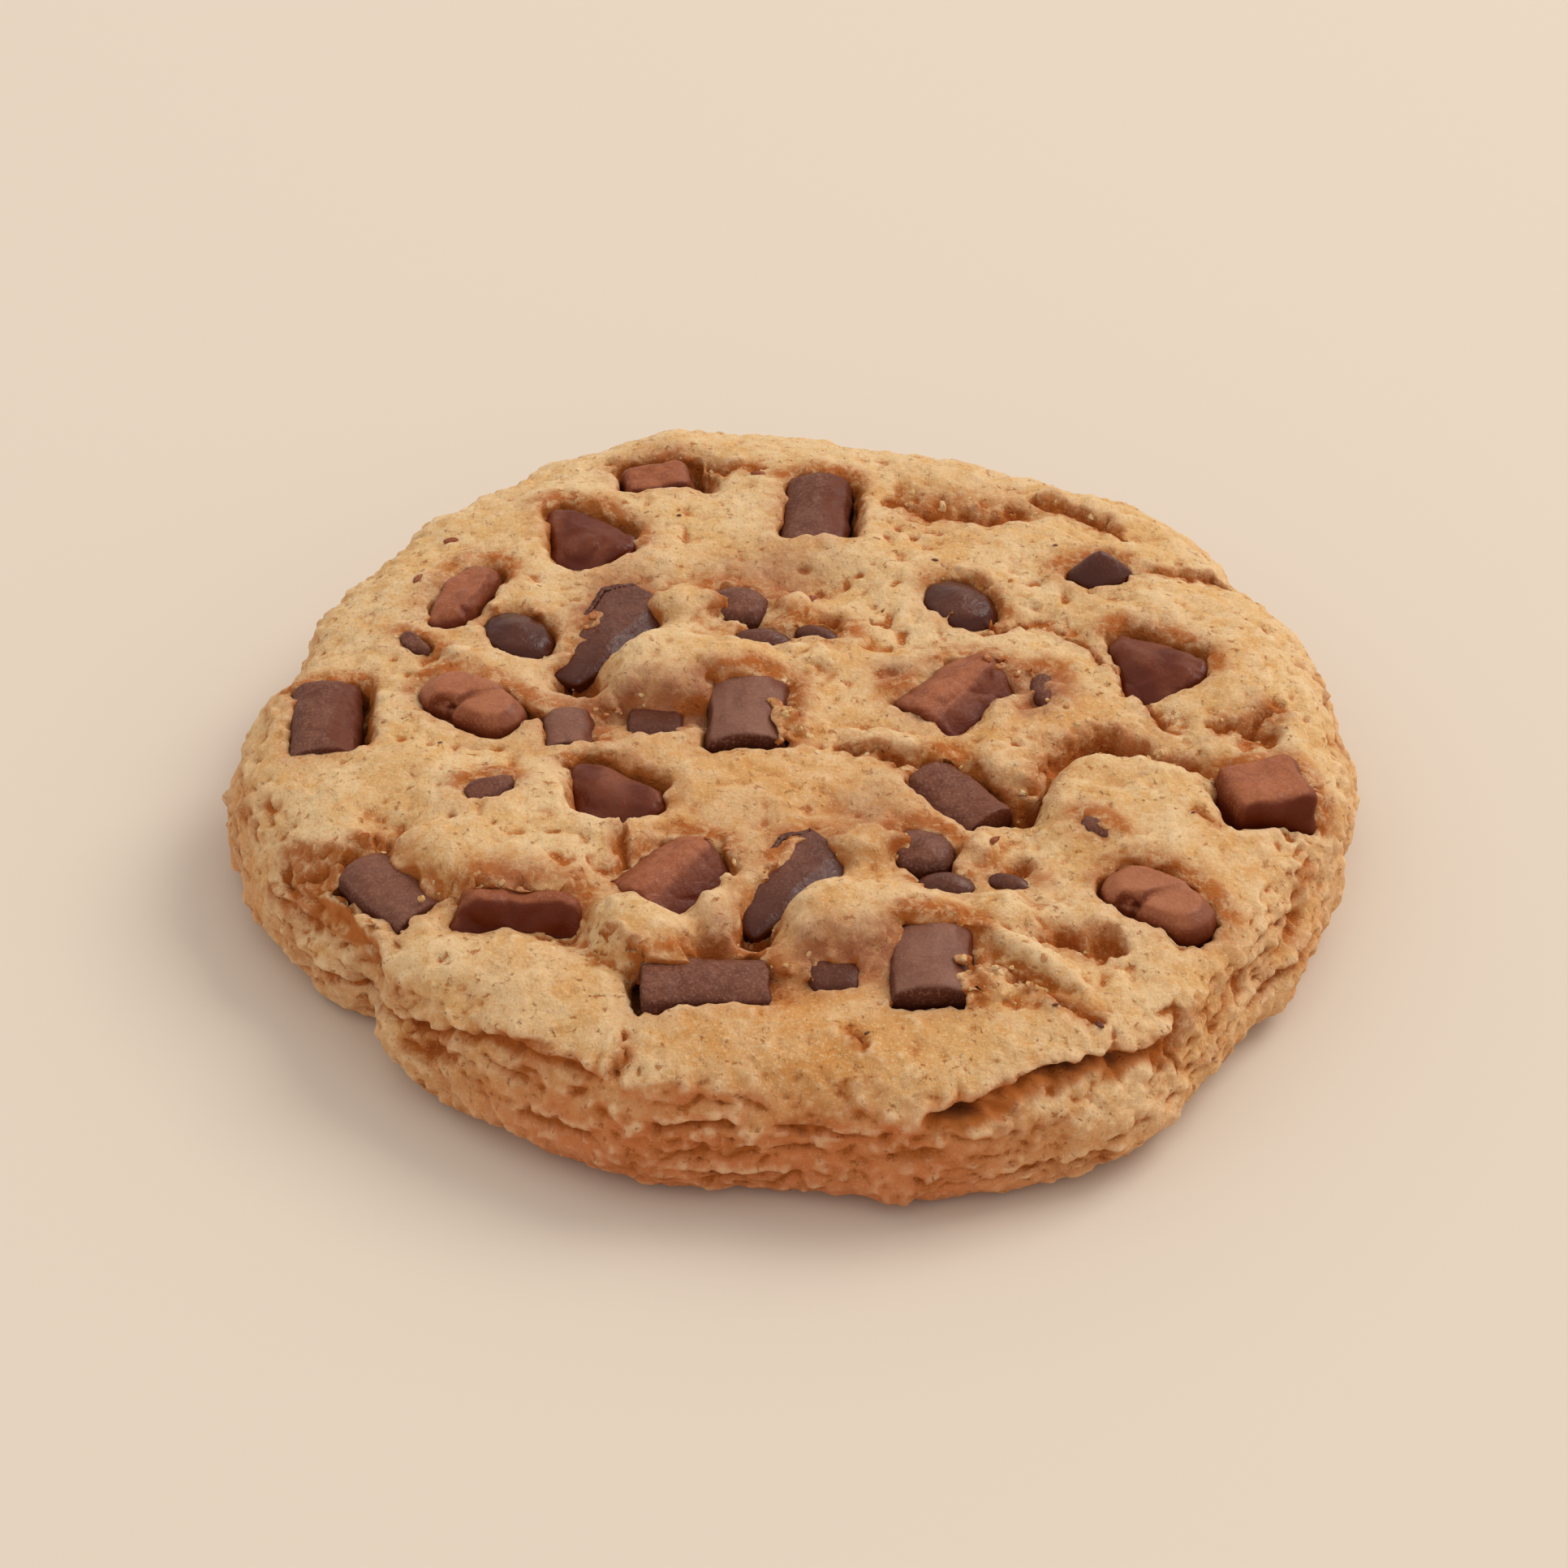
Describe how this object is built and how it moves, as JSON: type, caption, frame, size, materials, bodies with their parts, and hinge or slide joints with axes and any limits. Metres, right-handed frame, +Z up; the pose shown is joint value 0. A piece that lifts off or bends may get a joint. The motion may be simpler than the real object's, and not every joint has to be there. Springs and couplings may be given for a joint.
{
  "type": "double chocolate chunk cookie",
  "caption": "Thick round baked cookie with a craggy, cracked top and pieces of dark and milk chocolate set in pockets of the dough; it rests on a flat base.",
  "frame": {"origin": "middle of the flat underside, at the centre of the cookie's outline", "axes": "+Z up through the thickness, -Y towards the front, where the side has its layered ledges, +X to the right of a viewer who stands in front"},
  "size_m": [0.09, 0.089, 0.0158],
  "materials": {
    "dough": "dry, finely grained baked dough, golden tan on top and browner in the cracks and low on the side",
    "dark_chocolate": "smooth dark chocolate with a soft grey bloom and a satin sheen",
    "milk_chocolate": "smooth reddish-brown milk chocolate with a satin sheen and pale scuffs"
  },
  "bodies": {
    "root": {"dough": "dough", "dark_rod_1": "dark_chocolate", "dark_rod_2": "dark_chocolate", "dark_rod_3": "dark_chocolate", "dark_rod_4": "dark_chocolate", "dark_rod_5": "dark_chocolate", "dark_rod_6": "dark_chocolate", "dark_rod_7": "dark_chocolate", "dark_rod_8": "dark_chocolate", "dark_chip_1": "dark_chocolate", "dark_chip_2": "dark_chocolate", "dark_peak": "dark_chocolate", "dark_shard_1": "dark_chocolate", "dark_shard_2": "dark_chocolate", "dark_flake_1": "dark_chocolate", "dark_flake_2": "dark_chocolate", "dark_lens_1": "dark_chocolate", "dark_lens_2": "dark_chocolate", "dark_lens_3": "dark_chocolate", "dark_lens_4": "dark_chocolate", "dark_flake_3": "dark_chocolate", "dark_flake_4": "dark_chocolate", "dark_flake_5": "dark_chocolate", "dark_flake_6": "dark_chocolate", "dark_flake_7": "dark_chocolate", "dark_flake_8": "dark_chocolate", "milk_wedge_1": "milk_chocolate", "milk_wedge_2": "milk_chocolate", "milk_wedge_3": "milk_chocolate", "milk_ridge_1": "milk_chocolate", "milk_ridge_2": "milk_chocolate", "milk_bar_1": "milk_chocolate", "milk_bar_2": "milk_chocolate", "milk_block": "milk_chocolate", "milk_slab_1": "milk_chocolate", "milk_slab_2": "milk_chocolate", "milk_slab_3": "milk_chocolate"}
  },
  "joints": []
}
